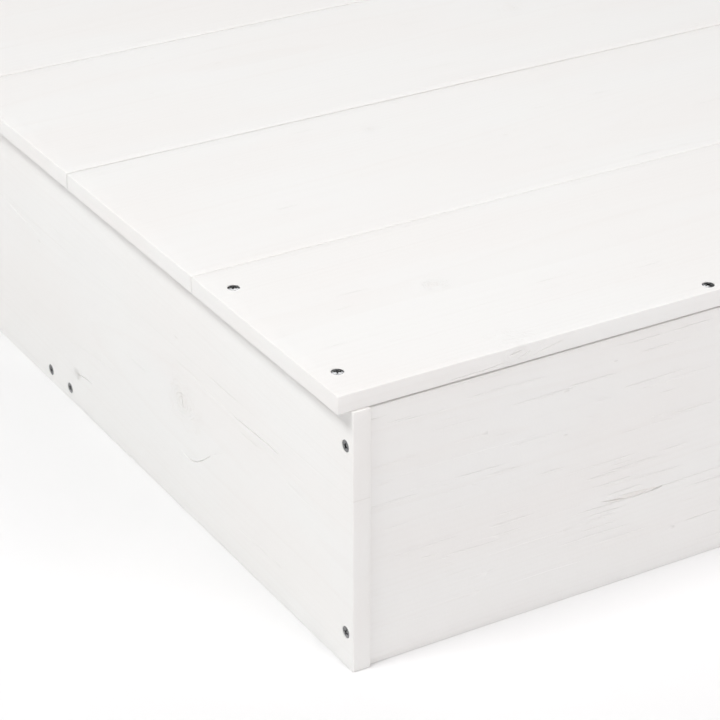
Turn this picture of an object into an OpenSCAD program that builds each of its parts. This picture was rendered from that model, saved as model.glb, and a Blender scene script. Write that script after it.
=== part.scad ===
// Square sandbox of painted pine boards, with a lift-off cover.
// Four boards stand on edge as the frame, two rails tie them at the ground, a seat plank is
// screwed down along the front and the back, and four planks on three battens make the cover.
// Millimetres, +Z up. The origin is the middle of the footprint, on the ground.
// X runs along the planks, Y from the front seat plank to the back one.

/* [Boards] */
// Thickness of every frame board and plank
board_t = 12.5; // [10:0.5:18]
// Length of a side board, front to back
side_l = 1110; // [900:10:1300]
// Height of a side board
side_h = 182.5; // [150:0.5:260]
// Width over the two side boards
frame_w = 1091; // [890:1:1280]
// How far an end board's face stands back from the side boards' ends
end_recess = 2.5; // [1:0.5:6]
// How far an end board's top edge stays under the planks
end_drop = 1.5; // [0:0.5:4]
// Flat planed along every edge
ease = 1; // [0.5:0.25:2]

/* [Planks] */
// Width of a plank
plank_w = 183.5; // [140:0.5:200]
// How far the planks reach past each side board
plank_overhang = 9.5; // [0:0.5:20]
// Gap between two planks of the cover
plank_gap = 1.2; // [0.5:0.1:3]
// Gap between the front seat plank and the cover
seam_front = 0.5; // [0.4:0.1:2]
// Gap between the cover and the back seat plank
seam_back = 1.9; // [0.4:0.1:4]

/* [Rails and battens] */
// Thickness of the ground rails and of the cover's battens
rail_t = 19; // [15:1:25]
// Width of a ground rail
rail_w = 60; // [40:1:90]
// Middle of the front ground rail, from the front end of the frame
rail_from_end = 421; // [250:1:450]
// Width of a cover batten
batten_w = 45; // [30:1:70]
// Length of a cover batten
batten_l = 704; // [500:1:720]
// Clearance between an outer batten and the side board
batten_clearance = 4; // [2:0.5:15]

/* [Screws] */
// Diameter of a screw's shank
shank_d = 4; // [3:0.5:5]
// Diameter of a countersunk head
head_d = 8; // [7:0.5:9]
// Length of the screws at the frame's corners
corner_screw_l = 40; // [30:5:60]
// Length of the screws into the ground rails
rail_screw_l = 50; // [40:5:70]
// Length of the screws through the seat planks
seat_screw_l = 35; // [25:5:50]
// Length of the screws through the battens
batten_screw_l = 28; // [24:1:30]
// Distance between the two screws in a rail's end
rail_screw_pitch = 32.5; // [20:0.5:45]
// Distance between the two screws of a batten in one plank
batten_screw_pitch = 110; // [60:5:140]

/* [Hidden] */

paint = "#f2f1ee";
steel = "#8d9092";

inner_w = frame_w - 2 * board_t;
plank_l = frame_w + 2 * plank_overhang;
end_h = side_h - end_drop;
end_mid = side_l / 2 - end_recess - board_t / 2;  // middle of an end board's thickness
rail_mid = side_l / 2 - rail_from_end;

// The six planks fill the depth between two lines just inside the side boards' ends.
planks_depth = 6 * plank_w + 3 * plank_gap + seam_front + seam_back;
front_edge = -planks_depth / 2;
cover_front = front_edge + plank_w + seam_front;
cover_pitch = plank_w + plank_gap;
back_plank = front_edge + planks_depth - plank_w;

batten_x = inner_w / 2 - batten_clearance - batten_w / 2;
batten_z = side_h - rail_t;

// A countersunk wood screw: a 90 degree head on a short rim, a plain shank and a point.
head_rim = 0.4;
head_cone = (head_d - shank_d) / 2;
tip_l = 5;
head_sink = 0.3;         // how far a driven head lies under the wood
fit = 0.1;               // clearance between a screw and its hole
drive_w = 4.4;           // cross drive: width over the wings, thickness of a wing, depth
drive_t = 0.9;
drive_depth = 1.7;
round_fn = 32;

corner_screw_z = [25, 156];
seat_screw_inset = [27, 156];      // the end screws, from the seat plank's outer edge
seat_edge_inset = 8.5;             // the screws into the end board, from the same edge
seat_screw_from_end = 273.5;       // the first of those, from the plank's end

// ---- Stock ----

function eased_corners(w, h) = [
    [ease, 0], [w - ease, 0], [w, ease], [w, h - ease],
    [w - ease, h], [ease, h], [0, h - ease], [0, ease]
];

// A block with all twelve edges eased, its low corner at the origin.
module eased_block(x, y, z) {
    intersection() {
        linear_extrude(z) polygon(eased_corners(x, y));
        translate([0, y, 0]) rotate([90, 0, 0]) linear_extrude(y) polygon(eased_corners(x, z));
        rotate([90, 0, 90]) linear_extrude(x) polygon(eased_corners(y, z));
    }
}

// A screw with its head's top at the origin, pointing down -Z.
module screw(length) {
    color(steel) difference() {
        rotate_extrude($fn = round_fn) polygon([
            [0, -length],
            [shank_d / 2, tip_l - length],
            [shank_d / 2, -head_rim - head_cone],
            [head_d / 2, -head_rim],
            [head_d / 2, 0],
            [0, 0]
        ]);
        for (turn = [0, 90])
            rotate(turn) translate([-drive_w / 2, -drive_t / 2, -drive_depth])
                cube([drive_w, drive_t, drive_depth + 1]);
    }
}

// The hole that a screw is driven into, countersunk from the wood's face at the origin.
module screw_hole(length) {
    depth = length + head_sink + 1;
    translate([0, 0, -depth]) cylinder(d = shank_d + 2 * fit, h = depth + 1, $fn = round_fn);
    translate([0, 0, -head_sink - head_rim - head_cone - fit])
        cylinder(d1 = shank_d, d2 = head_d + 2 * fit, h = head_cone + fit, $fn = round_fn);
    translate([0, 0, -head_sink - head_rim])
        cylinder(d = head_d + 2 * fit, h = head_sink + head_rim + 1, $fn = round_fn);
}

module driven_screw(length) {
    translate([0, 0, -head_sink]) screw(length);
}

// ---- Where the screws go: each module puts its children at the wood's face, pointing in ----

module at_corner_screws(side, end) {
    for (z = corner_screw_z)
        translate([side * frame_w / 2, end * end_mid, z]) rotate([0, side * 90, 0]) children();
}

module at_rail_screws(side) {
    for (end = [-1, 1], step = [-0.5, 0.5])
        translate([side * frame_w / 2, end * rail_mid + step * rail_screw_pitch, rail_t / 2])
            rotate([0, side * 90, 0]) children();
}

module at_seat_end_screws(side, end) {
    for (inset = seat_screw_inset)
        translate([side * (frame_w - board_t) / 2, end * (planks_depth / 2 - inset), side_h + board_t])
            children();
}

module at_seat_edge_screws(end) {
    reach = plank_l / 2 - seat_screw_from_end;
    for (x = [-reach, 0, reach])
        translate([x, end * (planks_depth / 2 - seat_edge_inset), side_h + board_t]) children();
}

module at_batten_screws(x) {
    for (i = [0:3], step = [-0.5, 0.5])
        translate([x, cover_front + i * cover_pitch + plank_w / 2 + step * batten_screw_pitch, batten_z])
            rotate([180, 0, 0]) children();
}

// ---- Frame ----

module side_board(side) {
    color(paint) difference() {
        translate([side > 0 ? frame_w / 2 - board_t : -frame_w / 2, -side_l / 2, 0])
            eased_block(board_t, side_l, side_h);
        for (end = [-1, 1]) {
            at_corner_screws(side, end) screw_hole(corner_screw_l);
            at_seat_end_screws(side, end) screw_hole(seat_screw_l);
        }
        at_rail_screws(side) screw_hole(rail_screw_l);
    }
}

module end_board(end) {
    color(paint) difference() {
        translate([-inner_w / 2, end * end_mid - board_t / 2, 0])
            eased_block(inner_w, board_t, end_h);
        for (side = [-1, 1])
            at_corner_screws(side, end) screw_hole(corner_screw_l);
        at_seat_edge_screws(end) screw_hole(seat_screw_l);
    }
}

module ground_rail(end) {
    color(paint) difference() {
        translate([-inner_w / 2, end * rail_mid - rail_w / 2, 0])
            eased_block(inner_w, rail_w, rail_t);
        for (side = [-1, 1])
            at_rail_screws(side) screw_hole(rail_screw_l);
    }
}

module seat_plank(end) {
    color(paint) difference() {
        translate([-plank_l / 2, end < 0 ? front_edge : back_plank, side_h])
            eased_block(plank_l, plank_w, board_t);
        for (side = [-1, 1])
            at_seat_end_screws(side, end) screw_hole(seat_screw_l);
        at_seat_edge_screws(end) screw_hole(seat_screw_l);
    }
}

// ---- Cover ----

// i counts the cover's planks from the front, from 0.
module cover_plank(i) {
    color(paint) difference() {
        translate([-plank_l / 2, cover_front + i * cover_pitch, side_h])
            eased_block(plank_l, plank_w, board_t);
        for (x = [-batten_x, 0, batten_x])
            at_batten_screws(x) screw_hole(batten_screw_l);
    }
}

// x is the batten's middle.
module cover_batten(x) {
    cover_middle = cover_front + (4 * plank_w + 3 * plank_gap) / 2;
    color(paint) difference() {
        translate([x - batten_w / 2, cover_middle - batten_l / 2, batten_z])
            eased_block(batten_w, batten_l, rail_t);
        at_batten_screws(x) screw_hole(batten_screw_l);
    }
}

// ---- Nodes ----

side_board(-1);  // side_board_left
side_board(1);  // side_board_right
end_board(-1);  // end_board_front
end_board(1);  // end_board_back
ground_rail(-1);  // ground_rail_front
ground_rail(1);  // ground_rail_back
seat_plank(-1);  // seat_plank_front
seat_plank(1);  // seat_plank_back
cover_plank(0);  // cover_plank_1
cover_plank(1);  // cover_plank_2
cover_plank(2);  // cover_plank_3
cover_plank(3);  // cover_plank_4
cover_batten(-batten_x);  // cover_batten_left
cover_batten(0);  // cover_batten_middle
cover_batten(batten_x);  // cover_batten_right
at_corner_screws(-1, -1) driven_screw(corner_screw_l);  // corner_screws_front_left
at_corner_screws(1, -1) driven_screw(corner_screw_l);  // corner_screws_front_right
at_corner_screws(-1, 1) driven_screw(corner_screw_l);  // corner_screws_back_left
at_corner_screws(1, 1) driven_screw(corner_screw_l);  // corner_screws_back_right
at_rail_screws(-1) driven_screw(rail_screw_l);  // rail_screws_left
at_rail_screws(1) driven_screw(rail_screw_l);  // rail_screws_right
union() {  // seat_screws_front
    for (side = [-1, 1]) at_seat_end_screws(side, -1) driven_screw(seat_screw_l);
    at_seat_edge_screws(-1) driven_screw(seat_screw_l);
}
union() {  // seat_screws_back
    for (side = [-1, 1]) at_seat_end_screws(side, 1) driven_screw(seat_screw_l);
    at_seat_edge_screws(1) driven_screw(seat_screw_l);
}
at_batten_screws(-batten_x) driven_screw(batten_screw_l);  // batten_screws_left
at_batten_screws(0) driven_screw(batten_screw_l);  // batten_screws_middle
at_batten_screws(batten_x) driven_screw(batten_screw_l);  // batten_screws_right
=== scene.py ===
import math

import bmesh
import bpy
import numpy as np
from mathutils import Matrix, Vector


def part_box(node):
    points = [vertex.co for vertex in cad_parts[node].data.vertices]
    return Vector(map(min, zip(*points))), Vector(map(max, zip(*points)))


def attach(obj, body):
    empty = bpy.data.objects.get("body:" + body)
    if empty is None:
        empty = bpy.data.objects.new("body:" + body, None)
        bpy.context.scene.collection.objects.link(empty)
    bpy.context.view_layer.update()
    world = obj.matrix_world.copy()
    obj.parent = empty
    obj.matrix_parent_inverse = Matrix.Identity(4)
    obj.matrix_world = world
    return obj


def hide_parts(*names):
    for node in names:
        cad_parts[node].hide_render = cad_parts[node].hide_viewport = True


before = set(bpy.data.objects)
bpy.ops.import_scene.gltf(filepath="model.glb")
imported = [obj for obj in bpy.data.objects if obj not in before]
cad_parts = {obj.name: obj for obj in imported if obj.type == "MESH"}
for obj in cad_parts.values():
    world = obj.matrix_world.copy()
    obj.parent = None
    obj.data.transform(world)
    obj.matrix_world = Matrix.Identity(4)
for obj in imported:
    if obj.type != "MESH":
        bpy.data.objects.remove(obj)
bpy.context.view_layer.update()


# ---- Camera ----
# A long lens from the front left corner, looking down on the box, so that the corner, one
# seat plank and the first planks of the cover fill the picture.

camera_place = Vector((-1.245, -1.747, 0.951))
camera_azimuth = math.radians(-30.58)
camera_dip = math.radians(27.96)

look = Vector((
    -math.sin(camera_azimuth) * math.cos(camera_dip),
    math.cos(camera_azimuth) * math.cos(camera_dip),
    -math.sin(camera_dip),
))
camera_data = bpy.data.cameras.new("camera")
camera_data.lens = 135.9
camera_data.sensor_width = 36
camera_data.clip_start = 0.05
camera_data.clip_end = 60
camera = bpy.data.objects.new("camera", camera_data)
camera.location = camera_place
camera.rotation_mode = "QUATERNION"
camera.rotation_quaternion = look.to_track_quat("-Z", "Y")
bpy.context.scene.collection.objects.link(camera)
bpy.context.scene.camera = camera


# ---- Side boards ----
# Two pine boards on edge, each glued up from two strips, planed, with softened arrises and
# white spray paint. They run past the ends of the front and back boards and are screwed to them.

MM = 0.001
ARRIS_STEPS = 3
GRAIN_STEP = 12 * MM         # mesh spacing along the grain, across it, and over a knot
CROSS_STEP = 6 * MM
KNOT_STEP = 1.8 * MM
SMOOTH_ANGLE = math.radians(32)
PLANER_WAVES = (0.9, 0.45, 0.22)
KNOT_RIPPLE = 0.16 * MM


class Board:
    """A CAD board's box, with the axes (0, 1 or 2) of its length, width and thickness, and the
    radius of its softened edges. short and thin are how much less than the CAD it is sawn and
    planed to."""

    def __init__(self, node, along, across, thick, arris=1.0 * MM, short=0.0, thin=0.0):
        low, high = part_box(node)
        low[along] += short
        high[along] -= short
        high[thick] -= thin
        self.node, self.low, self.high, self.arris = node, low, high, arris
        self.middle = (low + high) / 2
        self.along, self.across, self.thick = along, across, thick

    def half(self, axis):
        return (self.high[axis] - self.low[axis]) / 2


def new_piece(name, vertices, faces):
    mesh = bpy.data.meshes.new(name)
    mesh.from_pydata([tuple(v) for v in vertices], [], faces)
    mesh.update()
    piece = bpy.data.objects.new(name, mesh)
    bpy.context.scene.collection.objects.link(piece)
    return piece


def stations(low, high, arris, step, dense):
    """Places of the mesh's lines along one side: closer together in the arrises and at knots."""
    start, stop = low + arris, high - arris
    places = set(np.linspace(start, stop, 1 + max(1, round((stop - start) / step))))
    for middle, reach in dense:
        a, b = max(middle - reach, start), min(middle + reach, stop)
        places = {p for p in places if not a < p < b}
        places |= set(np.linspace(a, b, 1 + max(1, round((b - a) / KNOT_STEP))))
    rounding = arris * np.arange(ARRIS_STEPS) / ARRIS_STEPS
    places |= set(low + rounding) | set(high - rounding)
    kept = []
    for p in sorted(places):
        if not kept or p - kept[-1] > 0.05 * MM:
            kept.append(p)
    return np.array(kept)


def planed_board(name, board, knots=(), wave=0.12 * MM, seed=0):
    """A closed board with round arrises, faintly wavy from the planer, and rippled round its
    knots, which are (along, across, radius) from its middle."""
    low, high = np.array(board.low), np.array(board.high)
    steps = {board.along: GRAIN_STEP, board.across: CROSS_STEP, board.thick: CROSS_STEP}
    dense = {0: [], 1: [], 2: []}
    for along, across, radius in knots:
        dense[board.along].append((board.middle[board.along] + along, 4 * radius))
        dense[board.across].append((board.middle[board.across] + across, 3.5 * radius))
    grid = [stations(low[a], high[a], board.arris, steps[a], dense[a]) for a in range(3)]
    number = np.full([len(g) for g in grid], -1)
    skin = np.zeros(number.shape, bool)
    sides = []
    for a in range(3):
        for end in (0, -1):
            side = [slice(None)] * 3
            side[a] = end
            skin[tuple(side)] = True
            sides.append((a, end, tuple(side)))
    number[skin] = np.arange(skin.sum())
    points = np.stack(np.meshgrid(*grid, indexing="ij"), -1)[skin]
    core = np.clip(points, low + board.arris, high - board.arris)
    out = points - core
    out /= np.linalg.norm(out, axis=1)[:, None]

    u = points[:, board.along] - board.middle[board.along]
    v = points[:, board.across] - board.middle[board.across]
    draw = np.random.default_rng(seed)
    hollow = np.zeros(len(points))
    for length in PLANER_WAVES:
        turn, shift = draw.uniform(-0.35, 0.35), draw.uniform(0, 2 * math.pi)
        run = u * math.cos(turn) + 3 * v * math.sin(turn)
        hollow += wave * (1 + np.cos(2 * math.pi * run / length + shift)) / (2 * len(PLANER_WAVES))
    for along, across, radius in knots:
        away = np.hypot((u - along) / 1.25, v - across) / radius
        ripple = 0.5 + 0.5 * np.cos(2 * math.pi * away / 0.8)
        hollow += KNOT_RIPPLE * np.exp(-(away / 2.2) ** 2) * ripple
    points = core + out * (board.arris - hollow)[:, None]

    faces = []
    for a, end, side in sides:
        n = number[side]
        quads = np.stack([n[:-1, :-1], n[1:, :-1], n[1:, 1:], n[:-1, 1:]], -1).reshape(-1, 4)
        faces += (quads[:, ::-1] if (end == 0) != (a == 1) else quads).tolist()
    return new_piece(name, points, faces)


HEAD_SINK = 0.3 * MM         # how far a screw's head lies under the wood
HOLE_R = 2.1 * MM
SINK_R = 4.15 * MM           # the countersink's mouth
CUTTER_ABOVE = 2 * MM        # how far a hole's cutter stands out of the wood


def screw_spots(node, out):
    """Where a CAD node's screws are: the wood's face over the middle of each head, and out."""
    out = Vector(out)
    groups = []
    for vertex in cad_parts[node].data.vertices:
        height = vertex.co.dot(out)
        flat = vertex.co - out * height
        for group in groups:
            if (group[0][0] - flat).length < 2.2 * SINK_R:
                group.append((flat, height))
                break
        else:
            groups.append([(flat, height)])
    spots = []
    for group in groups:
        flats = np.array([flat for flat, _ in group])
        top = max(height for _, height in group) + HEAD_SINK
        spots.append((Vector((flats.min(0) + flats.max(0)) / 2) + out * top, out))
    return spots


def screw_holes(spots, depth, sides=32):
    """Countersunk holes as solids to cut away, one for each spot."""
    outline = [
        (HOLE_R, -depth),
        (HOLE_R, -HEAD_SINK - SINK_R + HOLE_R),
        (SINK_R, -HEAD_SINK),
        (SINK_R, CUTTER_ABOVE),
    ]
    solids = []
    for at, out in spots:
        turn = out.to_track_quat("Z", "Y").to_matrix()
        vertices, faces = [], []
        for radius, height in outline:
            for k in range(sides):
                angle = 2 * math.pi * k / sides
                ring = Vector((radius * math.cos(angle), radius * math.sin(angle), height))
                vertices.append(at + turn @ ring)
        for level in range(len(outline) - 1):
            for k in range(sides):
                a, b = level * sides + k, level * sides + (k + 1) % sides
                faces.append((a, b, b + sides, a + sides))
        faces.append(tuple(reversed(range(sides))))
        faces.append(tuple(range(len(vertices) - sides, len(vertices))))
        solids.append((vertices, faces))
    return solids


def shake(board, face, path, width, depth, on_edge=False, samples=24):
    """A split along the grain, as a wedge to cut away. face is the board's low (-1) or high (1)
    side, or with on_edge its edge. path holds (along, across) points on it, from its middle, and
    they, the width and the depth are in millimetres."""
    across, thick = (board.thick, board.across) if on_edge else (board.across, board.thick)
    out = Vector((0, 0, 0))
    out[thick] = face
    level = board.high[thick] if face > 0 else board.low[thick]
    above = 0.4 * MM
    width, depth = width * MM, depth * MM
    path = [np.array(p) * MM for p in path]
    path = [2 * path[0] - path[1]] + path + [2 * path[-1] - path[-2]]
    centres = []
    for s in np.linspace(0, len(path) - 3, samples):
        i = min(int(s), len(path) - 4)
        a, b, c, d = path[i:i + 4]
        t = s - i
        bend = 2 * a - 5 * b + 4 * c - d + t * (3 * (b - c) + d - a)
        centres.append(b + 0.5 * t * (c - a + t * bend))
    vertices, faces = [], []
    for i, centre in enumerate(centres):
        run = centres[min(i + 1, samples - 1)] - centres[max(i - 1, 0)]
        run /= np.linalg.norm(run)
        swell = math.sin(math.pi * (i + 0.5) / samples) ** 0.45
        wobble = 1 + 0.35 * math.sin(2.3 * i) * math.sin(0.7 * i)
        reach, deep = width * swell * wobble / 2, depth * swell
        mouth = reach * (1 + above / deep)
        for aside, height in ((-mouth, above), (mouth, above), (0, -deep)):
            p = Vector((0, 0, 0))
            p[board.along] = board.middle[board.along] + centre[0] - run[1] * aside
            p[across] = board.middle[across] + centre[1] + run[0] * aside
            p[thick] = level
            vertices.append(p + out * height)
    for i in range(samples - 1):
        for k in range(3):
            a, b = 3 * i + k, 3 * i + (k + 1) % 3
            faces.append((a, b, b + 3, a + 3))
    faces += [(2, 1, 0), (len(vertices) - 3, len(vertices) - 2, len(vertices) - 1)]
    return vertices, faces


def cut_away(piece, solids):
    """Cuts the solids out of a board, then shades it smooth up to its real edges."""
    vertices, faces = [], []
    for more_vertices, more_faces in solids:
        faces += [tuple(len(vertices) + k for k in face) for face in more_faces]
        vertices += more_vertices
    tool = new_piece("cutter", vertices, faces)
    bm = bmesh.new()
    bm.from_mesh(tool.data)
    bmesh.ops.recalc_face_normals(bm, faces=bm.faces)
    bm.to_mesh(tool.data)
    bm.free()
    cut = piece.modifiers.new("cut", "BOOLEAN")
    cut.operation = "DIFFERENCE"
    cut.solver = "MANIFOLD"
    cut.object = tool
    view = bpy.context.evaluated_depsgraph_get()
    made = bpy.data.meshes.new_from_object(piece.evaluated_get(view))
    piece.modifiers.remove(cut)
    piece.data = made
    bpy.data.objects.remove(tool)
    made.shade_smooth()
    made.set_sharp_from_angle(angle=SMOOTH_ANGLE)


def put(tree, kind, wires=None, **settings):
    """Adds a node. wires gives its inputs, by name or number, as values, sockets or nodes."""
    made = tree.nodes.new(kind)
    for key, value in settings.items():
        setattr(made, key, value)
    for key, value in (wires or {}).items():
        if isinstance(key, str):
            socket = next(s for s in made.inputs if s.name == key and s.enabled)
        else:
            socket = made.inputs[key]
        if isinstance(value, bpy.types.Node):
            value = next(s for s in value.outputs if s.enabled)
        if isinstance(value, bpy.types.NodeSocket):
            tree.links.new(value, socket)
        else:
            socket.default_value = value
    return made


def calc(tree, operation, *values):
    return put(tree, "ShaderNodeMath", dict(enumerate(values)), operation=operation)


def vector_calc(tree, operation, *values):
    return put(tree, "ShaderNodeVectorMath", dict(enumerate(values)), operation=operation)


def scaled(tree, vector, factor):
    return put(tree, "ShaderNodeVectorMath", {0: vector, "Scale": factor}, operation="SCALE")


def mixed(tree, factor, low, high):
    """A colour that goes from low to high as the factor goes from 0 to 1."""
    return put(tree, "ShaderNodeMix", {"Factor": factor, 6: low, 7: high}, data_type="RGBA").outputs[2]


def weighted(tree, values, weights):
    """The sum of the named values, each times the weight of its name."""
    total = 0.0
    for name, weight in weights.items():
        total = calc(tree, "MULTIPLY_ADD", values[name], weight, total)
    return total


def ramp(tree, value, start, stop, low=0.0, high=1.0):
    wires = {"Value": value, "From Min": start, "From Max": stop, "To Min": low, "To Max": high}
    return put(tree, "ShaderNodeMapRange", wires, interpolation_type="SMOOTHSTEP")


def noise(tree, vector, stretch, detail=2.0):
    """Noise of about one blot per 1 / stretch metres each way."""
    stretched = vector_calc(tree, "MULTIPLY", vector, stretch)
    return put(tree, "ShaderNodeTexNoise", {"Vector": stretched, "Scale": 1.0, "Detail": detail})


def new_group(name, inputs, outputs):
    """An empty shader group. inputs maps a name to its default, and outputs a name to its kind."""
    group = bpy.data.node_groups.new(name, "ShaderNodeTree")
    for label, default in inputs.items():
        kind = "NodeSocketVector" if isinstance(default, tuple) else "NodeSocketFloat"
        socket = group.interface.new_socket(label, in_out="INPUT", socket_type=kind)
        socket.default_value = default
    for label, kind in outputs.items():
        group.interface.new_socket(label, in_out="OUTPUT", socket_type=kind)
    start = group.nodes.new("NodeGroupInput").outputs
    end = group.nodes.new("NodeGroupOutput").inputs
    return group, start, end


def use_group(tree, group, wires):
    return put(tree, "ShaderNodeGroup", wires, node_tree=group).outputs


# Growth rings round a pith that runs along the board, outside it. Vector is in metres from the
# board's middle: along the grain, across it, through the thickness. Above the glue line the
# board is another strip, with rings of its own.
OTHER_STRIP = (3.1, 0.047, -0.021)   # from one glued strip's pith to the other's
growth_rings, start, end = new_group(
    "growth rings",
    {"Vector": (0.0, 0.0, 0.0), "Pith": (0.0, 0.0, -0.05), "Lean": (0.0, 0.02, 0.02),
     "Ring Width": 0.0035, "Glue Line": 1.0, "Seed": 0.0},
    {"Latewood": "NodeSocketFloat", "Fibre": "NodeSocketFloat", "Glue Seam": "NodeSocketFloat"},
)
g = growth_rings
place = put(g, "ShaderNodeSeparateXYZ", {0: start["Vector"]})
strip = calc(g, "GREATER_THAN", place.outputs["Y"], start["Glue Line"])
own = vector_calc(g, "ADD", start["Vector"], scaled(g, OTHER_STRIP, strip))
seed_shift = put(g, "ShaderNodeCombineXYZ", {"X": start["Seed"]})
seeded = vector_calc(g, "ADD", own, seed_shift)
centre = vector_calc(g, "ADD", start["Pith"], scaled(g, start["Lean"], place.outputs["X"]))
wander = noise(g, seeded, (1.8, 6, 6), 1.0).outputs["Color"]
wander = vector_calc(g, "SUBTRACT", wander, (0.5, 0.5, 0.5))
wander = vector_calc(g, "MULTIPLY", wander, (0.0, 0.03, 0.03))
bent = vector_calc(g, "SUBTRACT", vector_calc(g, "ADD", own, wander), centre)
from_pith = vector_calc(g, "LENGTH", vector_calc(g, "MULTIPLY", bent, (0.0, 1.0, 1.0)))
fuzz = calc(g, "MULTIPLY_ADD", noise(g, seeded, (7, 90, 90), 3.0), 0.0016, from_pith.outputs["Value"])
rings = calc(g, "DIVIDE", fuzz, start["Ring Width"])
phase = calc(g, "FRACT", rings)
year = put(g, "ShaderNodeTexWhiteNoise", {"W": calc(g, "FLOOR", rings)}, noise_dimensions="1D")
strength = ramp(g, year, 0.0, 1.0, 0.25, 1.0)
late = calc(g, "MULTIPLY", ramp(g, phase, 0.3, 0.9), ramp(g, phase, 1.0, 0.93))
g.links.new(calc(g, "MULTIPLY", late, strength).outputs[0], end["Latewood"])
g.links.new(noise(g, seeded, (16, 800, 800), 2.0).outputs[0], end["Fibre"])
from_glue = calc(g, "ABSOLUTE", calc(g, "SUBTRACT", place.outputs["Y"], start["Glue Line"]))
g.links.new(ramp(g, from_glue, 0.5 * MM, 0.1 * MM).outputs[0], end["Glue Seam"])


# A knot: bends the grain that reaches it round its rim, and has rings of its own.
knot_group, start, end = new_group(
    "knot",
    {"Vector": (0.0, 0.0, 0.0), "Centre": (0.0, 0.0, 0.0), "Radius": 0.006,
     "Stretch": (1.2, 1.0, 1000.0)},
    {"Vector": "NodeSocketVector", "Core": "NodeSocketFloat", "Rings": "NodeSocketFloat"},
)
g = knot_group
offset = vector_calc(g, "SUBTRACT", start["Vector"], start["Centre"])
ragged = calc(g, "MULTIPLY_ADD", noise(g, start["Vector"], (60, 130, 60), 3.0), 1.5, 0.25)
away = vector_calc(g, "LENGTH", vector_calc(g, "DIVIDE", offset, start["Stretch"])).outputs["Value"]
radii = calc(g, "MULTIPLY", calc(g, "DIVIDE", away, start["Radius"]), ragged)
reach = ramp(g, radii, 4.2, 1.0)
keep = calc(g, "SUBTRACT", 1.0, calc(g, "DIVIDE", reach, calc(g, "MAXIMUM", radii, 1.0)))
pulled = vector_calc(g, "ADD", scaled(g, offset, keep), start["Centre"])
g.links.new(pulled.outputs[0], end["Vector"])
g.links.new(ramp(g, radii, 1.08, 0.9).outputs[0], end["Core"])
circle = calc(g, "SINE", calc(g, "MULTIPLY", radii, 13.0))
circle = ramp(g, circle, 0.1, 1.0)
patchy = ramp(g, noise(g, start["Vector"], (90, 90, 90), 1.0), 0.35, 0.6)
near = calc(g, "MULTIPLY", ramp(g, radii, 4.4, 1.0), patchy)
g.links.new(calc(g, "MULTIPLY", circle, near).outputs[0], end["Rings"])


# Open grain: short grooves along the grain, in patches, that the paint doesn't fill.
open_grain, start, end = new_group(
    "open grain",
    {"Vector": (0.0, 0.0, 0.0), "Amount": 0.5, "Seed": 0.0},
    {"Groove": "NodeSocketFloat", "Pit": "NodeSocketFloat"},
)
g = open_grain
seeded = vector_calc(g, "ADD", start["Vector"], put(g, "ShaderNodeCombineXYZ", {"X": start["Seed"]}))
line = noise(g, seeded, (17, 420, 420), 1.0)
patch = ramp(g, noise(g, seeded, (3.5, 22, 22), 1.0), 0.62, 0.38)
bar = calc(g, "MULTIPLY_ADD", start["Amount"], -0.14, 0.78)
high_bar = calc(g, "ADD", bar, 0.1)
groove = put(g, "ShaderNodeMapRange", {"Value": line, "From Min": bar, "From Max": high_bar},
             interpolation_type="SMOOTHSTEP")
g.links.new(calc(g, "MULTIPLY", groove, patch).outputs[0], end["Groove"])
cell = put(g, "ShaderNodeTexVoronoi", {
    "Vector": vector_calc(g, "MULTIPLY", seeded, (28, 70, 70)), "Scale": 1.0})
chosen = ramp(g, put(g, "ShaderNodeSeparateXYZ", {0: cell.outputs["Color"]}), 0.82, 0.86)
dot = ramp(g, cell.outputs["Distance"], 0.09, 0.04)
pit = calc(g, "MULTIPLY", calc(g, "MULTIPLY", dot, chosen), start["Amount"])
g.links.new(pit.outputs[0], end["Pit"])


# Arrises, where the paint is thin: 1 on an edge, 0 from a few millimetres inwards.
arris_group, start, end = new_group(
    "arris",
    {"Vector": (0.0, 0.0, 0.0), "Half Size": (1.0, 1.0, 1.0), "Reach": 0.003},
    {"Edge": "NodeSocketFloat", "End": "NodeSocketFloat"},
)
g = arris_group
inset = vector_calc(g, "SUBTRACT", start["Half Size"], vector_calc(g, "ABSOLUTE", start["Vector"]))
parts = put(g, "ShaderNodeSeparateXYZ", {0: inset})
rims = []
for axis in "XYZ":
    rims.append(put(g, "ShaderNodeMapRange", {
        "Value": parts.outputs[axis], "From Min": start["Reach"], "From Max": 0.0}))
pairs = [calc(g, "MULTIPLY", rims[a], rims[b]) for a, b in ((0, 1), (1, 2), (0, 2))]
edge = calc(g, "MAXIMUM", calc(g, "MAXIMUM", pairs[0], pairs[1]), pairs[2])
worn = ramp(g, noise(g, start["Vector"], (60, 200, 200), 2.0), 0.35, 0.65, 0.4, 1.0)
g.links.new(calc(g, "MULTIPLY", edge, worn).outputs[0], end["Edge"])
g.links.new(ramp(g, parts.outputs["X"], 1.2 * MM, 0.4 * MM).outputs[0], end["End"])


# Sprayed paint: an orange-peel surface, and a slow drift between a cool and a rosy white.
spray_group, start, end = new_group(
    "sprayed paint",
    {"Vector": (0.0, 0.0, 0.0), "Seed": 0.0},
    {"Peel": "NodeSocketFloat", "Drift": "NodeSocketFloat"},
)
g = spray_group
seeded = vector_calc(g, "ADD", start["Vector"], put(g, "ShaderNodeCombineXYZ", {"X": start["Seed"]}))
g.links.new(noise(g, seeded, (500, 500, 500), 1.0).outputs[0], end["Peel"])
g.links.new(ramp(g, noise(g, seeded, (5, 14, 14), 2.0), 0.35, 0.65).outputs[0], end["Drift"])

COOL_WHITE = (0.815, 0.812, 0.80, 1)
ROSY_WHITE = (0.812, 0.80, 0.785, 1)
WOOD_TINT = (0.66, 0.585, 0.53, 1)        # wood showing through the paint
SHADE_TINT = (0.40, 0.35, 0.31, 1)        # dirt and shadow in grooves

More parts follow.
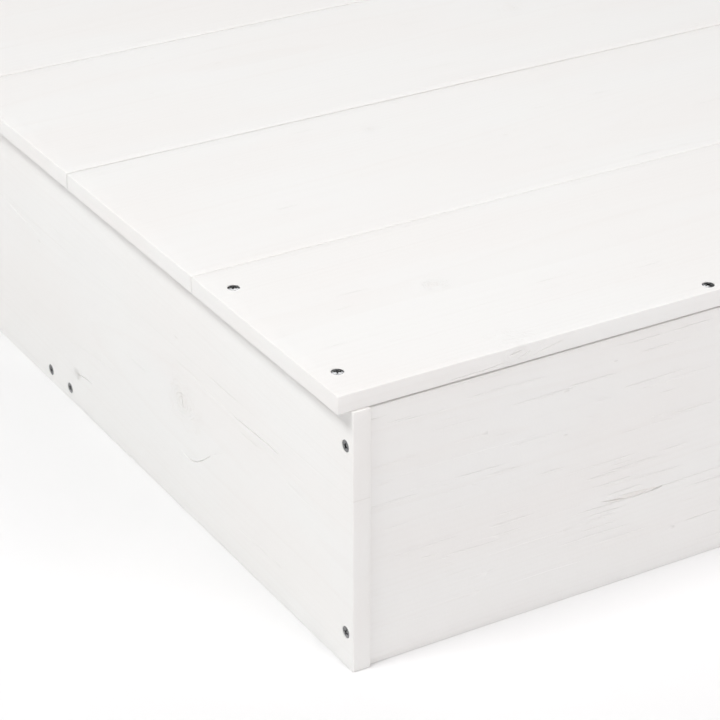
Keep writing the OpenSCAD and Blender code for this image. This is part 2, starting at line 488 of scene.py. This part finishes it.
# How much each part of the wood shows through the paint, how much it is darkened by painted shade
# (in grooves and pits) and by glue and dirt (in seams), how many millimetres it stands up or lies low,
# and how much rougher it is than the smoothest paint.
WOOD_SHOWS = {"late wood": 0.045, "fibre": 0.04, "knot rings": 0.09, "knot core": 0.07,
              "resin": 0.17, "arris": 0.03, "end grain": 0.03}
# Painted shade: grooves and pits are darkened towards SHADE_TINT as if shadowed; the glue seams are real
# dark joints.
SHADE_AND_DIRT = {"groove": 0.025, "pit": 0.16, "glue seam": 0.05, "end seam": 0.08}
RELIEF = {"late wood": 0.05, "fibre": 0.06, "knot rings": 0.24, "knot core": -0.06, "peel": 0.03,
          "groove": -0.24, "pit": -0.3, "glue seam": -0.07}
ROUGHER = {"fibre": 0.16, "end grain": 0.2}
SMOOTHEST = 0.44


def painted_pine(board, seed, pith, ring_width=3.4 * MM, lean=(0, 0.02, 0.015), grooves=0.4,
                 knots=(), knot_depth=1.0, resin=None, glue_line=1.0):
    """White paint over pine for one board. knots are (along, across, radius) on the faces, or
    (along, across, through, radius) inside one edge. resin is a pocket's place, length and width."""
    paint = bpy.data.materials.new("paint on " + board.node)
    paint.use_nodes = True
    t = paint.node_tree
    shader = t.nodes["Principled BSDF"]
    along, across = Vector((0, 0, 0)), Vector((0, 0, 0))
    along[board.along] = across[board.across] = 1
    turn = Matrix((along, across, along.cross(across)))
    half = (board.half(board.along), board.half(board.across), board.half(board.thick))
    vector = put(t, "ShaderNodeMapping", {
        "Vector": put(t, "ShaderNodeTexCoord").outputs["Object"],
        "Location": -(turn @ board.middle),
        "Rotation": turn.to_euler(),
    }).outputs[0]
    edges = use_group(t, arris_group, {"Vector": vector, "Half Size": half})
    spray = use_group(t, spray_group, {"Vector": vector, "Seed": seed})
    grain_vector, cores, circles = vector, 0.0, 0.0
    for knot in knots:
        if len(knot) == 3:
            centre, radius, stretch = (knot[0], knot[1], 0.0), knot[2], (1.25, 1.0, 1000.0)
        else:
            centre, radius, stretch = knot[:3], knot[3], (1.7, 2.5, 1.0)
        wires = {"Vector": grain_vector, "Centre": centre, "Radius": radius, "Stretch": stretch}
        outputs = use_group(t, knot_group, wires)
        grain_vector = outputs["Vector"]
        cores = calc(t, "MAXIMUM", cores, outputs["Core"])
        circles = calc(t, "MAXIMUM", circles, outputs["Rings"])
    rings = use_group(t, growth_rings, {
        "Vector": grain_vector, "Pith": (0.0, pith[0], pith[1]), "Lean": lean,
        "Ring Width": ring_width, "Glue Line": glue_line, "Seed": seed})
    opened = use_group(t, open_grain, {"Vector": grain_vector, "Amount": grooves, "Seed": seed})

    off_ends = calc(t, "MULTIPLY_ADD", edges["End"], -0.7, 1.0)
    values = {
        "late wood": calc(t, "MULTIPLY", rings["Latewood"], off_ends),
        "fibre": rings["Fibre"],
        "knot rings": calc(t, "MULTIPLY", circles, knot_depth),
        "knot core": calc(t, "MULTIPLY", cores, knot_depth),
        "resin": 0.0,
        "arris": edges["Edge"],
        "end grain": edges["End"],
        "groove": opened["Groove"],
        "pit": opened["Pit"],
        "glue seam": rings["Glue Seam"],
        "end seam": calc(t, "MULTIPLY", rings["Glue Seam"], edges["End"]),
        "peel": spray["Peel"],
    }
    if resin:
        values["resin"] = use_group(t, knot_group, {
            "Vector": vector, "Centre": (resin[0], resin[1], 0.0), "Radius": resin[3] / 2,
            "Stretch": (resin[2] / resin[3], 1.0, 1000.0)})["Core"]
    white = mixed(t, spray["Drift"], COOL_WHITE, ROSY_WHITE)
    woody = mixed(t, weighted(t, values, WOOD_SHOWS), white, WOOD_TINT)
    # Painted shade in grooves and pits, and dark glue seams, mixed in towards SHADE_TINT.
    color = mixed(t, weighted(t, values, SHADE_AND_DIRT), woody, SHADE_TINT)
    t.links.new(color, shader.inputs["Base Color"])
    rough = calc(t, "ADD", weighted(t, values, ROUGHER), SMOOTHEST)
    t.links.new(rough.outputs[0], shader.inputs["Roughness"])
    relief = weighted(t, values, RELIEF)
    bump = put(t, "ShaderNodeBump", {"Distance": MM, "Height": relief})
    t.links.new(bump.outputs[0], shader.inputs["Normal"])
    return paint


def finish_board(board, body, seed, pith, cuts, knots=(), **grain):
    """Makes a board's mesh, cuts its holes and splits, paints it and puts it on its body."""
    face_knots = [k for k in knots if len(k) == 3 and k[2] > 3 * MM]
    piece = planed_board("planed_" + board.node, board, knots=face_knots, seed=seed)
    cut_away(piece, cuts)
    piece.data.materials.clear()
    piece.data.materials.append(painted_pine(board, seed * GRAIN_SHIFT, pith, knots=knots, **grain))
    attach(piece, body)
    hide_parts(board.node)


GRAIN_SHIFT = 1.37           # from one seed's grain to the next, in metres
THROUGH = 20 * MM            # a hole that runs on out of a thin board
SEAT_HOLE = 36.5 * MM
GLUE_LINE = 30.5 * MM        # above the middle of the left board

corner_spots = {
    (side, end): screw_spots(f"corner_screws_{end}_{side}", (x, 0, 0))
    for side, x in (("left", -1), ("right", 1)) for end in ("front", "back")
}
rail_spots = {
    side: screw_spots(f"rail_screws_{side}", (x, 0, 0)) for side, x in (("left", -1), ("right", 1))
}
seat_spots = {end: screw_spots(f"seat_screws_{end}", (0, 0, 1)) for end in ("front", "back")}


def spots_over(board, axis, spots):
    """Those of the spots that lie within a board's size along one axis."""
    return [s for s in spots if abs(s[0][axis] - board.middle[axis]) < board.half(axis)]


def side_holes(side, board):
    seats = spots_over(board, 0, seat_spots["front"] + seat_spots["back"])
    ends = corner_spots[side, "front"] + corner_spots[side, "back"]
    return screw_holes(ends + rail_spots[side], THROUGH) + screw_holes(seats, SEAT_HOLE)


left = Board("side_board_left", 1, 2, 0)
left_cuts = side_holes("left", left)
left_cuts += [
    shake(left, -1, [(-466, 18.7), (-440, 18.4), (-404, 17.2)], 1.0, 3),
    shake(left, -1, [(-408, 17.4), (-375, 17.5), (-345, 20)], 0.45, 0.35),
    shake(left, -1, [(-328, -45.5), (-338, -47), (-350, -44), (-361, -37), (-371, -29)], 1.0, 1.0),
    shake(left, -1, [(-374, -27), (-382, -21.5), (-391, -15.5)], 0.5, 0.35),
    shake(left, -1, [(-331.5, 1), (-332, -6), (-333.5, -13)], 0.9, 1.6),
    shake(left, -1, [(-325.5, 4), (-326, -1), (-327.5, -6)], 0.4, 0.5),
    shake(left, -1, [(-340, 0), (-341, -6), (-344, -11)], 0.4, 0.5),
    shake(left, -1, [(-189, -60.5), (-178, -61), (-164, -64)], 0.9, 1.4),
    shake(left, -1, [(-282, -8.8), (-270, -9.5), (-254, -9.2)], 0.5, 0.4),
    shake(left, -1, [(-111, 24), (-75, 27), (-35, 32)], 0.5, 0.4),
    shake(left, -1, [(-470, -64), (-440, -64.5), (-405, -66)], 0.45, 0.3),
    shake(left, -1, [(-240, -32), (-190, -36), (-130, -45)], 0.45, 0.3),
]
finish_board(left, "frame", 3, (-0.012, 0.062), left_cuts, glue_line=GLUE_LINE, grooves=0.6,
             knots=[(-0.333, -0.007, 6 * MM), (0.21, 0.035, 7 * MM), (-0.165, -0.0635, 1.6 * MM)])

right = Board("side_board_right", 1, 2, 0)
right_cuts = side_holes("right", right)
right_cuts.append(shake(right, 1, [(120, -20), (160, -22), (200, -19)], 0.6, 0.6))
finish_board(right, "frame", 7, (0.02, -0.055), right_cuts, glue_line=-0.02, grooves=0.4,
             knots=[(0.30, 0.012, 7.5 * MM), (-0.18, -0.04, 5 * MM)])


# ---- Front and back boards ----
# Pine boards between the side boards, set back a little from their ends and a little lower, so
# a dark line shows under the seat planks. Planing has torn their grain open in short grooves.

CORNER_HOLE = 41.5 * MM
# Where the planer tore the front board's face: from its middle, how long, how high, in mm.
TORN_GRAIN = [
    (-531, 30, 48.7), (-475, 28, 49), (-421, 64, 48.6), (-345, 52, 48.2), (-533, 130, 38.2),
    (-509, 28, 25.7), (-401, 52, 26), (-333, 40, 25.2), (-489, 34, 16.1), (-509, 76, -25.2),
    (-455, 74, -38.5), (-477, 34, -50.3), (-493, 48, -62.5), (-433, 60, -65),
]
RESIN_POCKET = (-0.338, -0.0275, 36 * MM, 3.2 * MM)

for end, body_seed, pith in (("front", 11, (0.05, 0.075)), ("back", 13, (-0.03, -0.06))):
    board = Board(f"end_board_{end}", 0, 2, 1, arris=0.5 * MM)
    cuts = screw_holes(corner_spots["left", end] + corner_spots["right", end], CORNER_HOLE)
    cuts += screw_holes(spots_over(board, 1, seat_spots[end]), SEAT_HOLE)
    knots = [(0.17, -0.035, 6 * MM), (-0.27, 0.02, 5 * MM)]
    if end == "front":
        cuts += [
            shake(board, -1, [(-362, -25.8), (-352, -27.2), (-345, -28.2)], 1.0, 1.3),
            shake(board, -1, [(-345, -28.4), (-335, -29.3), (-322, -29.1)], 0.6, 0.9),
            shake(board, -1, [(-323, -29), (-318, -28.6), (-314, -27.9)], 1.2, 2.2),
            shake(board, -1, [(-353, -25.6), (-340, -25.6), (-325, -27)], 0.5, 0.5),
            shake(board, -1, [(-306, -61.9), (-304, -62.3), (-302, -61.9)], 2.6, 0.5),
        ]
        for from_x, length, height in TORN_GRAIN:
            middle, to_x = from_x + length / 2, from_x + length
            path = [(from_x, height), (middle, height + 0.4), (to_x, height - 0.5)]
            cuts.append(shake(board, -1, path, 0.55, 0.22))
        knots = [(0.24, 0.02, 6.5 * MM)]
    finish_board(board, "frame", body_seed, pith, cuts, knots=knots,
                 resin=RESIN_POCKET if end == "front" else None,
                 grooves=1.0 if end == "front" else 0.6)


# ---- Ground rails ----
# Two flat rails on the ground between the side boards keep them from bowing under the sand.
# Each is held by two screws driven into its end grain.

RAIL_HOLE = 51.5 * MM

for end, body_seed, knot_place in (("front", 17, -0.12), ("back", 19, 0.2)):
    board = Board(f"ground_rail_{end}", 0, 1, 2)
    spots = spots_over(board, 1, rail_spots["left"] + rail_spots["right"])
    finish_board(board, "frame", body_seed, (0.01, -0.04), screw_holes(spots, RAIL_HOLE),
                 knots=[(knot_place, 0.008, 5 * MM)])


# ---- Seat planks ----
# The front and back planks, screwed down through their ends into the side boards and along
# their outer edges into the front and back boards. Their ends overhang the side boards.

PLANK_ARRIS = 0.8 * MM
FRONT_SEAT_KNOTS = [
    (-0.430, 0.005, 3.2 * MM),
    (-0.428, -0.0915, 0.0015, 3.2 * MM),      # on the front edge
    (0.33, -0.03, 6 * MM),
]
seat_looks = {
    "front": (23, (0.015, -0.052), FRONT_SEAT_KNOTS),
    "back": (29, (-0.03, -0.06), [(0.12, 0.04, 6 * MM)]),
}
for end, (body_seed, pith, knots) in seat_looks.items():
    board = Board(f"seat_plank_{end}", 0, 1, 2, arris=PLANK_ARRIS)
    cuts = screw_holes(seat_spots[end], SEAT_HOLE)
    if end == "front":
        cuts += [
            shake(board, -1, [(-478, -4), (-455, -3.8), (-436, -2.4)], 0.6, 0.6, on_edge=True),
            shake(board, -1, [(-436, 1), (-431, 2), (-427, 2.4)], 1.0, 0.9, on_edge=True),
            shake(board, -1, [(-430, -2.5), (-425, -1.2), (-421, 0.8)], 0.9, 0.8, on_edge=True),
            shake(board, -1, [(-418, -3), (-409, -0.8), (-396, 1.8)], 0.6, 0.5, on_edge=True),
        ]
    finish_board(board, "frame", body_seed, pith, cuts, knots=knots, knot_depth=0.5, grooves=0.4)


# ---- Cover ----
# Four planks like the seat planks, laid close together and screwed from beneath to three
# battens. The outer battens drop in between the side boards and keep the cover in place.

batten_spots = {
    side: screw_spots(f"batten_screws_{side}", (0, 0, -1)) for side in ("left", "middle", "right")
}
all_batten_spots = batten_spots["left"] + batten_spots["middle"] + batten_spots["right"]
BATTEN_HOLE = 29.3 * MM
SAWN_SHORT = 0.15 * MM       # how planks differ in length and thickness
PLANED_THIN = 0.08 * MM

plank_looks = {
    1: (31, (-0.035, -0.06), [(-0.337, 0.053, 2.2 * MM), (0.10, -0.03, 6 * MM)]),
    2: (37, (0.03, -0.05), [(-0.12, 0.02, 5 * MM), (0.36, -0.045, 6 * MM)]),
    3: (41, (0.0, -0.07), [(0.22, 0.03, 7 * MM)]),
    4: (43, (-0.05, -0.045), [(-0.31, -0.02, 5.5 * MM)]),
}
for number, (body_seed, pith, knots) in plank_looks.items():
    board = Board(f"cover_plank_{number}", 0, 1, 2, arris=PLANK_ARRIS,
                  short=SAWN_SHORT * (number % 3), thin=PLANED_THIN * (number % 2))
    cuts = screw_holes(spots_over(board, 1, all_batten_spots), BATTEN_HOLE)
    finish_board(board, "cover", body_seed, pith, cuts, knots=knots, knot_depth=0.4, grooves=0.4)

for side, body_seed, knot_place in (("left", 47, 0.11), ("middle", 53, -0.19), ("right", 59, -0.19)):
    board = Board(f"cover_batten_{side}", 1, 0, 2)
    cuts = screw_holes(batten_spots[side], BATTEN_HOLE)
    finish_board(board, "cover", body_seed, (0.0, 0.035), cuts,
                 knots=[(knot_place, 0.006, 4 * MM)])


# ---- Screws ----
# Countersunk steel wood screws with a cross recess: the head, a plain shank, a core with a
# coarse thread and a point. They are driven by hand, so each cross is turned its own way.

screw_tree = bpy.data.node_groups.new("driven screws", "GeometryNodeTree")
screw_tree.interface.new_socket("Spots", in_out="INPUT", socket_type="NodeSocketGeometry")
screw_sizes = {
    "Head Radius": 4.0 * MM, "Head Rim": 0.4 * MM, "Shank Radius": 2.0 * MM, "Core Radius": 1.35 * MM,
    "Length": 40 * MM, "Tip Length": 5 * MM, "Thread Pitch": 1.8 * MM,
    "Drive Width": 4.4 * MM, "Drive Slot": 1.0 * MM, "Drive Depth": 1.8 * MM,
}
for label, value in screw_sizes.items():
    socket = screw_tree.interface.new_socket(label, in_out="INPUT", socket_type="NodeSocketFloat")
    socket.default_value = value
screw_tree.interface.new_socket("Seed", in_out="INPUT", socket_type="NodeSocketInt")
screw_tree.interface.new_socket("Steel", in_out="INPUT", socket_type="NodeSocketMaterial")
screw_tree.interface.new_socket("Screws", in_out="OUTPUT", socket_type="NodeSocketGeometry")
t = screw_tree
start = t.nodes.new("NodeGroupInput").outputs
end = t.nodes.new("NodeGroupOutput").inputs

# The outline from the head's crown to the point, as depths and radii.
DOME = 0.26 * MM
CHAMFER = 0.06 * MM
THREAD_FADE = 0.8 * MM
POINT_R = 0.08 * MM
PLAIN_SHARE = 0.42           # how much of the length has no thread
cone = calc(t, "SUBTRACT", start["Head Radius"], start["Shank Radius"])
under_head = calc(t, "ADD", start["Head Rim"], cone)
plain_end = calc(t, "MULTIPLY", start["Length"], PLAIN_SHARE)
crown = []
for part in (0.25, 0.5, 0.72, 0.9):
    crown.append((-DOME * (1 - part * part), calc(t, "MULTIPLY", start["Head Radius"], part)))
outline = crown + [
    (0.0, calc(t, "SUBTRACT", start["Head Radius"], CHAMFER)),
    (CHAMFER, start["Head Radius"]),
    (start["Head Rim"], start["Head Radius"]),
    (under_head, start["Shank Radius"]),
    (plain_end, start["Shank Radius"]),
    (calc(t, "ADD", plain_end, THREAD_FADE), start["Core Radius"]),
    (calc(t, "SUBTRACT", start["Length"], start["Tip Length"]), start["Core Radius"]),
    (start["Length"], POINT_R),
]
depth_switch = t.nodes.new("GeometryNodeIndexSwitch")
radius_switch = t.nodes.new("GeometryNodeIndexSwitch")
for switch, column in ((depth_switch, 0), (radius_switch, 1)):
    switch.data_type = "FLOAT"
    while len(switch.index_switch_items) < len(outline):
        switch.index_switch_items.new()
    t.links.new(t.nodes.new("GeometryNodeInputIndex").outputs[0], switch.inputs["Index"])
    for row, pair in enumerate(outline):
        value, socket = pair[column], switch.inputs[row + 1]
        if isinstance(value, float):
            socket.default_value = value
        else:
            t.links.new(value.outputs[0] if isinstance(value, bpy.types.Node) else value, socket)
line = put(t, "GeometryNodeMeshLine", {"Count": len(outline)})
down = put(t, "ShaderNodeCombineXYZ", {"Z": calc(t, "MULTIPLY", depth_switch, -1.0)})
line = put(t, "GeometryNodeSetPosition", {"Geometry": line, "Position": down})
line = put(t, "GeometryNodeMeshToCurve", {"Mesh": line})
circle = put(t, "GeometryNodeCurvePrimitiveCircle", {"Resolution": 28, "Radius": 1.0})
body = put(t, "GeometryNodeCurveToMesh", {
    "Curve": line, "Profile Curve": circle, "Scale": radius_switch, "Fill Caps": True})

# The cross recess narrows towards its bottom.
deep = calc(t, "MULTIPLY", start["Drive Depth"], 2.0)
size = put(t, "ShaderNodeCombineXYZ", {"X": start["Drive Width"], "Y": start["Drive Slot"], "Z": deep})
wing = put(t, "GeometryNodeMeshCube", {"Size": size})
spot = put(t, "ShaderNodeSeparateXYZ", {0: put(t, "GeometryNodeInputPosition")})
taper = calc(t, "MULTIPLY_ADD", calc(t, "DIVIDE", spot.outputs["Z"], start["Drive Depth"]), 0.5, 1.0)
narrow = put(t, "ShaderNodeCombineXYZ", {
    "X": calc(t, "MULTIPLY", spot.outputs["X"], taper),
    "Y": calc(t, "MULTIPLY", spot.outputs["Y"], taper),
    "Z": spot.outputs["Z"]})
wing = put(t, "GeometryNodeSetPosition", {"Geometry": wing, "Position": narrow})
cross_wing = put(t, "GeometryNodeTransform", {"Geometry": wing, "Rotation": (0.0, 0.0, math.pi / 2)})
recessed = put(t, "GeometryNodeMeshBoolean", {"Mesh 1": body}, operation="DIFFERENCE", solver="MANIFOLD")
t.links.new(wing.outputs[0], recessed.inputs["Mesh 2"])
t.links.new(cross_wing.outputs[0], recessed.inputs["Mesh 2"])

# The thread: a ridge wound round the core.
thread_length = calc(t, "SUBTRACT", calc(t, "SUBTRACT", start["Length"], plain_end), start["Tip Length"])
ridge = calc(t, "MULTIPLY", calc(t, "SUBTRACT", start["Shank Radius"], start["Core Radius"]), 0.66)
wind_r = calc(t, "SUBTRACT", start["Shank Radius"], ridge)
helix = put(t, "GeometryNodeCurveSpiral", {
    "Resolution": 14, "Rotations": calc(t, "DIVIDE", thread_length, start["Thread Pitch"]),
    "Start Radius": wind_r, "End Radius": wind_r, "Height": thread_length})
ridge_profile = put(t, "GeometryNodeCurvePrimitiveCircle", {"Resolution": 3, "Radius": ridge})
thread = put(t, "GeometryNodeCurveToMesh", {
    "Curve": helix, "Profile Curve": ridge_profile, "Fill Caps": True})
run_out = calc(t, "MULTIPLY", start["Tip Length"], 0.8)
thread_drop = calc(t, "MULTIPLY", calc(t, "SUBTRACT", start["Length"], run_out), -1.0)
thread = put(t, "GeometryNodeTransform", {
    "Geometry": thread, "Translation": put(t, "ShaderNodeCombineXYZ", {"Z": thread_drop})})
screw = put(t, "GeometryNodeMeshBoolean", operation="UNION", solver="MANIFOLD")
t.links.new(recessed.outputs[0], screw.inputs["Mesh 2"])
t.links.new(thread.outputs[0], screw.inputs["Mesh 2"])

out_axis = put(t, "GeometryNodeInputNamedAttribute", {"Name": "out"}, data_type="FLOAT_VECTOR")
facing = put(t, "FunctionNodeAlignRotationToVector", {"Vector": out_axis}, axis="Z")
turn = put(t, "FunctionNodeRandomValue", {"Min": 0.0, "Max": math.pi / 2, "Seed": start["Seed"]},
           data_type="FLOAT")
turn = put(t, "FunctionNodeAxisAngleToRotation", {"Axis": (0.0, 0.0, 1.0), "Angle": turn})
facing = put(t, "FunctionNodeRotateRotation", {"Rotation": facing, "Rotate By": turn},
             rotation_space="LOCAL")
placed = put(t, "GeometryNodeInstanceOnPoints", {
    "Points": start["Spots"], "Instance": screw, "Rotation": facing})
placed = put(t, "GeometryNodeRealizeInstances", {"Geometry": placed})
placed = put(t, "GeometryNodeSetMaterial", {"Geometry": placed, "Material": start["Steel"]})
t.links.new(placed.outputs[0], end["Screws"])

# Bright steel, a little brushed by the tumbling barrel, mottled between dull and bright.
DULL_STEEL = (0.165, 0.167, 0.171, 1)
BRIGHT_STEEL = (0.23, 0.232, 0.235, 1)
steel = bpy.data.materials.new("screw steel")
steel.use_nodes = True
t = steel.node_tree
shader = t.nodes["Principled BSDF"]
vector = put(t, "ShaderNodeTexCoord").outputs["Object"]
mottle = noise(t, vector, (700, 700, 700), 3.0)
scuff = noise(t, vector, (2500, 900, 2500), 1.0)
t.links.new(mixed(t, mottle, DULL_STEEL, BRIGHT_STEEL), shader.inputs["Base Color"])
shader.inputs["Metallic"].default_value = 1.0
t.links.new(calc(t, "MULTIPLY_ADD", mottle, 0.14, 0.12).outputs[0], shader.inputs["Roughness"])
bump = put(t, "ShaderNodeBump", {"Distance": 0.02 * MM, "Height": scuff})
t.links.new(bump.outputs[0], shader.inputs["Normal"])

# The CAD node that each set replaces, its places, its screws' length in mm, and its body.
sets = []
for side, end in corner_spots:
    sets.append((f"corner_screws_{end}_{side}", corner_spots[side, end], 40, "frame"))
for side in rail_spots:
    sets.append((f"rail_screws_{side}", rail_spots[side], 50, "frame"))
for end in seat_spots:
    sets.append((f"seat_screws_{end}", seat_spots[end], 35, "frame"))
for side in batten_spots:
    sets.append((f"batten_screws_{side}", batten_spots[side], 28, "cover"))
sockets = [item for item in screw_tree.interface.items_tree if item.in_out == "INPUT"]
inputs = {socket.name: socket.identifier for socket in sockets}
for seed, (node, spots, length, body) in enumerate(sets):
    points = new_piece("spots", [at - out * HEAD_SINK for at, out in spots], [])
    axis = points.data.attributes.new("out", "FLOAT_VECTOR", "POINT")
    axis.data.foreach_set("vector", [c for _, out in spots for c in out])
    modifier = points.modifiers.new("screws", "NODES")
    modifier.node_group = screw_tree
    modifier[inputs["Length"]] = length * MM
    modifier[inputs["Seed"]] = seed
    modifier[inputs["Steel"]] = steel
    view = bpy.context.evaluated_depsgraph_get()
    mesh = bpy.data.meshes.new_from_object(points.evaluated_get(view))
    bpy.data.objects.remove(points)
    mesh.shade_smooth()
    mesh.set_sharp_from_angle(angle=SMOOTH_ANGLE)
    piece = bpy.data.objects.new("driven_" + node, mesh)
    bpy.context.scene.collection.objects.link(piece)
    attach(piece, body)
    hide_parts(node)


# ---- Studio ----
# A plain white floor under a white sky, lit by four softboxes: the key from high on the left, a
# low one beside it, one from the front and a weak one from behind.

FLOOR_GLOW = 0.62            # makes up for the softboxes' light where they don't reach
FLOOR_REACH = 15
corners = [(x * FLOOR_REACH, y * FLOOR_REACH, 0) for x, y in ((-1, -1), (1, -1), (1, 1), (-1, 1))]
floor = new_piece("studio_floor", corners, [(0, 1, 2, 3)])
floor_paint = bpy.data.materials.new("studio floor")
floor_paint.use_nodes = True
t = floor_paint.node_tree
floor_shader = t.nodes["Principled BSDF"]
floor_shader.inputs["Base Color"].default_value = (0.81, 0.81, 0.81, 1)
floor_shader.inputs["Roughness"].default_value = 0.9
floor_shader.inputs["Specular IOR Level"].default_value = 0.1
from_middle = vector_calc(t, "LENGTH", put(t, "ShaderNodeTexCoord").outputs["Object"])
far_glow = ramp(t, from_middle.outputs["Value"], 1.8, 5.0, 0.0, FLOOR_GLOW)
t.links.new(far_glow.outputs[0], floor_shader.inputs["Emission Color"])
floor_shader.inputs["Emission Strength"].default_value = 1.0
floor.data.materials.append(floor_paint)
WALL = (0.75, 0.75, 0.75, 1)
CEILING = (1, 1, 1, 1)
SKY = 0.306
SEEN_SKY = 1.15              # the wall behind the floor, as bright as the floor in front of it
world = bpy.data.worlds.new("studio sky")
world.use_nodes = True
t = world.node_tree
sky = t.nodes["Background"]
height = put(t, "ShaderNodeSeparateXYZ", {0: put(t, "ShaderNodeTexCoord").outputs["Generated"]})
height = ramp(t, height.outputs["Z"], 0.1, 0.9)
t.links.new(mixed(t, height, WALL, CEILING), sky.inputs["Color"])
camera_ray = put(t, "ShaderNodeLightPath").outputs["Is Camera Ray"]
strength = ramp(t, camera_ray, 0.0, 1.0, SKY, SEEN_SKY)
t.links.new(strength.outputs[0], sky.inputs["Strength"])
bpy.context.scene.world = world


def softbox(name, place, target, width, depth, power, color):
    light = bpy.data.lights.new(name, "AREA")
    light.shape = "RECTANGLE"
    light.size, light.size_y = width, depth
    light.energy = power
    light.color = color
    lamp = bpy.data.objects.new(name, light)
    lamp.location = place
    lamp.rotation_mode = "QUATERNION"
    lamp.rotation_quaternion = (Vector(target) - Vector(place)).to_track_quat("-Z", "Y")
    bpy.context.scene.collection.objects.link(lamp)


softbox("softbox_key", (-4.3, -0.7, 6.0), (-0.2, -0.1, 0.1), 3.0, 1.7, 357, (1, 1, 1))
softbox("softbox_left", (-5.5, -0.8, 1.4), (-0.4, -0.2, 0.1), 2.4, 1.2, 21, (1, 1, 1))
softbox("softbox_back", (2.4, 4.4, 4.3), (0, 0, 0.2), 2.2, 1.1, 40, (1, 1, 1))
softbox("softbox_front", (1.2, -5.8, 4.2), (-0.2, -0.2, 0.1), 3.0, 1.8, 197, (1, 0.965, 0.975))
bpy.context.scene.view_settings.view_transform = "Standard"
bpy.context.scene.view_settings.look = "None"
